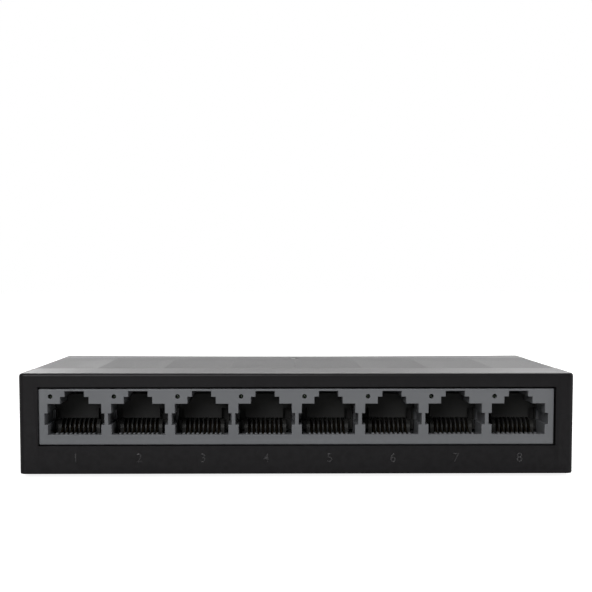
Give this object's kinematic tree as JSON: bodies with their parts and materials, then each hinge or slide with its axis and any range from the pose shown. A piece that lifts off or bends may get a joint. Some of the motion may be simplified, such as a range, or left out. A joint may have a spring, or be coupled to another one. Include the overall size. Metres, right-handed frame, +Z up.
{
  "type": "desktop network switch",
  "caption": "Low black desktop network switch: a row of modular sockets along the front, a fluted top, rubber feet and a round power inlet at the back.",
  "frame": {"origin": "on the desk surface, under the middle of the case", "axes": "+X along the row of sockets, to the right seen from the front; the sockets face -Y; +Z up"},
  "size_m": [0.122, 0.07, 0.0231],
  "materials": {
    "case_plastic": "fine-textured black moulded plastic, satin on the raised edges",
    "socket_plastic": "mid-grey moulded glass-filled plastic",
    "insert_plastic": "black moulded plastic",
    "foot_rubber": "matt black rubber",
    "screw_steel": "zinc-plated steel",
    "contact_gold": "gold-plated phosphor bronze",
    "contact_metal": "bright nickel plate",
    "clear_plastic": "clear moulded acrylic with a faint green tint",
    "diode": "clear resin over a white package",
    "board_green": "green solder mask over glass-fibre laminate",
    "chip_epoxy": "black moulded epoxy",
    "heat_sink_metal": "extruded aluminium",
    "can_metal": "drawn metal can"
  },
  "bodies": {
    "root": {"top_cover": "case_plastic", "base_cover": "case_plastic", "foot_front_left": "foot_rubber", "foot_front_right": "foot_rubber", "foot_rear_left": "foot_rubber", "foot_rear_right": "foot_rubber", "case_screw_left": "screw_steel", "case_screw_right": "screw_steel", "board_screw_left": "screw_steel", "board_screw_right": "screw_steel", "port_block": "socket_plastic", "contact_insert_1": "insert_plastic", "port_led_1": "diode", "contact_insert_2": "insert_plastic", "port_led_2": "diode", "contact_insert_3": "insert_plastic", "port_led_3": "diode", "contact_insert_4": "insert_plastic", "port_led_4": "diode", "contact_insert_5": "insert_plastic", "port_led_5": "diode", "contact_insert_6": "insert_plastic", "port_led_6": "diode", "contact_insert_7": "insert_plastic", "port_led_7": "diode", "contact_insert_8": "insert_plastic", "port_led_8": "diode", "light_guide": "clear_plastic", "power_lens": "clear_plastic", "power_led": "diode", "jack_housing": "insert_plastic", "jack_pin": "contact_metal", "jack_strip": "contact_metal", "circuit_board": "board_green", "switch_chip": "chip_epoxy", "heat_sink": "heat_sink_metal", "transformer_1": "chip_epoxy", "transformer_2": "chip_epoxy", "transformer_3": "chip_epoxy", "transformer_4": "chip_epoxy", "capacitor_large": "can_metal", "capacitor_small": "can_metal", "inductor": "chip_epoxy", "regulator": "chip_epoxy", "crystal": "can_metal"},
    "contacts_1": {"contact_springs_1": "contact_gold"},
    "contacts_2": {"contact_springs_2": "contact_gold"},
    "contacts_3": {"contact_springs_3": "contact_gold"},
    "contacts_4": {"contact_springs_4": "contact_gold"},
    "contacts_5": {"contact_springs_5": "contact_gold"},
    "contacts_6": {"contact_springs_6": "contact_gold"},
    "contacts_7": {"contact_springs_7": "contact_gold"},
    "contacts_8": {"contact_springs_8": "contact_gold"},
    "inlet_leaf": {"jack_leaf": "contact_metal"}
  },
  "joints": [
    {"name": "contact_flex_1", "type": "hinge", "parent": "root", "child": "contacts_1", "pos_m": [-0.0489, -0.0324, 0.0085], "axis": [-1, 0, 0], "range_deg": [0, 9], "stiffness_Nm_per_rad": 0.4},
    {"name": "contact_flex_2", "type": "hinge", "parent": "root", "child": "contacts_2", "pos_m": [-0.03492, -0.0324, 0.0085], "axis": [-1, 0, 0], "range_deg": [0, 9], "stiffness_Nm_per_rad": 0.4},
    {"name": "contact_flex_3", "type": "hinge", "parent": "root", "child": "contacts_3", "pos_m": [-0.02096, -0.0324, 0.0085], "axis": [-1, 0, 0], "range_deg": [0, 9], "stiffness_Nm_per_rad": 0.4},
    {"name": "contact_flex_4", "type": "hinge", "parent": "root", "child": "contacts_4", "pos_m": [-0.00698, -0.0324, 0.0085], "axis": [-1, 0, 0], "range_deg": [0, 9], "stiffness_Nm_per_rad": 0.4},
    {"name": "contact_flex_5", "type": "hinge", "parent": "root", "child": "contacts_5", "pos_m": [0.00698, -0.0324, 0.0085], "axis": [-1, 0, 0], "range_deg": [0, 9], "stiffness_Nm_per_rad": 0.4},
    {"name": "contact_flex_6", "type": "hinge", "parent": "root", "child": "contacts_6", "pos_m": [0.02096, -0.0324, 0.0085], "axis": [-1, 0, 0], "range_deg": [0, 9], "stiffness_Nm_per_rad": 0.4},
    {"name": "contact_flex_7", "type": "hinge", "parent": "root", "child": "contacts_7", "pos_m": [0.03492, -0.0324, 0.0085], "axis": [-1, 0, 0], "range_deg": [0, 9], "stiffness_Nm_per_rad": 0.4},
    {"name": "contact_flex_8", "type": "hinge", "parent": "root", "child": "contacts_8", "pos_m": [0.0489, -0.0324, 0.0085], "axis": [-1, 0, 0], "range_deg": [0, 9], "stiffness_Nm_per_rad": 0.4},
    {"name": "inlet_leaf_flex", "type": "hinge", "parent": "root", "child": "inlet_leaf", "pos_m": [-0.034, 0.0236, 0.0096], "axis": [-1, 0, 0], "range_deg": [0, 5], "stiffness_Nm_per_rad": 0.3}
  ]
}
